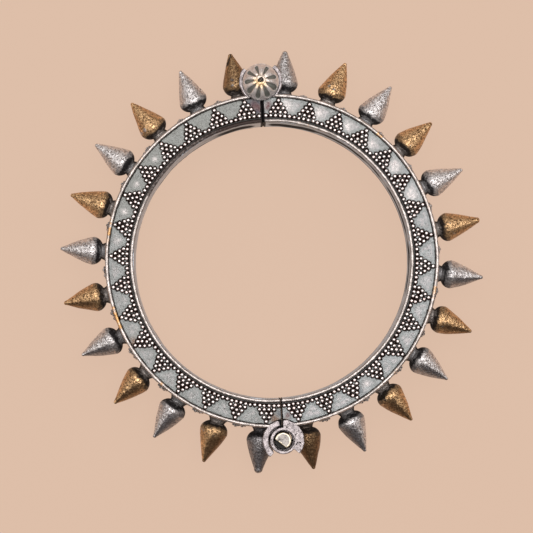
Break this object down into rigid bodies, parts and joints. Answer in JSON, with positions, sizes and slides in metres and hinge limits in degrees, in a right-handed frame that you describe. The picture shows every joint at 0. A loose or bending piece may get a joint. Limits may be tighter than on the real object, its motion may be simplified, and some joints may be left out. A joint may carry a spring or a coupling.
{
  "type": "spiked bangle",
  "caption": "Hollow silver bangle in two hinged halves, ringed with turned silver and gilt spikes, with granulated faces and a rosette-headed screw clasp.",
  "frame": {"origin": "centre of the ring on the plane that the bangle rests on", "axes": "+Z along the ring's axis towards the screw's head, +Y from the hinge towards the clasp"},
  "size_m": [0.0946, 0.0946, 0.0233],
  "materials": {
    "band_silver": "old silver, worn bright on the rim wires and dark in the corners",
    "beaded_silver": "oxidised silver with bright granule tops on blackened ground",
    "spike_silver": "pitted cast silver, dark round the neck",
    "spike_gilt": "rubbed gilding over silver, brown in the pits and dark round the neck",
    "pin_silver": "worn silver with a filed end",
    "rosette_silver": "bright silver with a trace of gilding and dark petals"
  },
  "bodies": {
    "right_half": {"band_right": "band_silver", "front_face_right": "beaded_silver", "back_face_right": "beaded_silver", "florets_right": "beaded_silver", "hinge_pin": "pin_silver", "gilt_spike_13": "spike_gilt", "silver_spike_14": "spike_silver", "gilt_spike_15": "spike_gilt", "silver_spike_16": "spike_silver", "gilt_spike_17": "spike_gilt", "silver_spike_18": "spike_silver", "gilt_spike_19": "spike_gilt", "silver_spike_20": "spike_silver", "gilt_spike_21": "spike_gilt", "silver_spike_22": "spike_silver", "gilt_spike_23": "spike_gilt", "silver_spike_24": "spike_silver"},
    "left_half": {"band_left": "band_silver", "front_face_left": "beaded_silver", "back_face_left": "beaded_silver", "florets_left": "beaded_silver", "gilt_spike_01": "spike_gilt", "silver_spike_02": "spike_silver", "gilt_spike_03": "spike_gilt", "silver_spike_04": "spike_silver", "gilt_spike_05": "spike_gilt", "silver_spike_06": "spike_silver", "gilt_spike_07": "spike_gilt", "silver_spike_08": "spike_silver", "gilt_spike_09": "spike_gilt", "silver_spike_10": "spike_silver", "gilt_spike_11": "spike_gilt", "silver_spike_12": "spike_silver"},
    "clasp_screw": {"clasp_screw": "rosette_silver"}
  },
  "joints": [
    {"name": "hinge", "type": "hinge", "parent": "right_half", "child": "left_half", "pos_m": [0, -0.0401, 0], "axis": [0, 0, 1], "range_deg": [0, 60]},
    {"name": "screw_draw", "type": "slide", "parent": "right_half", "child": "clasp_screw", "axis": [0, 0, 1], "range_m": [0, 0.021]}
  ]
}
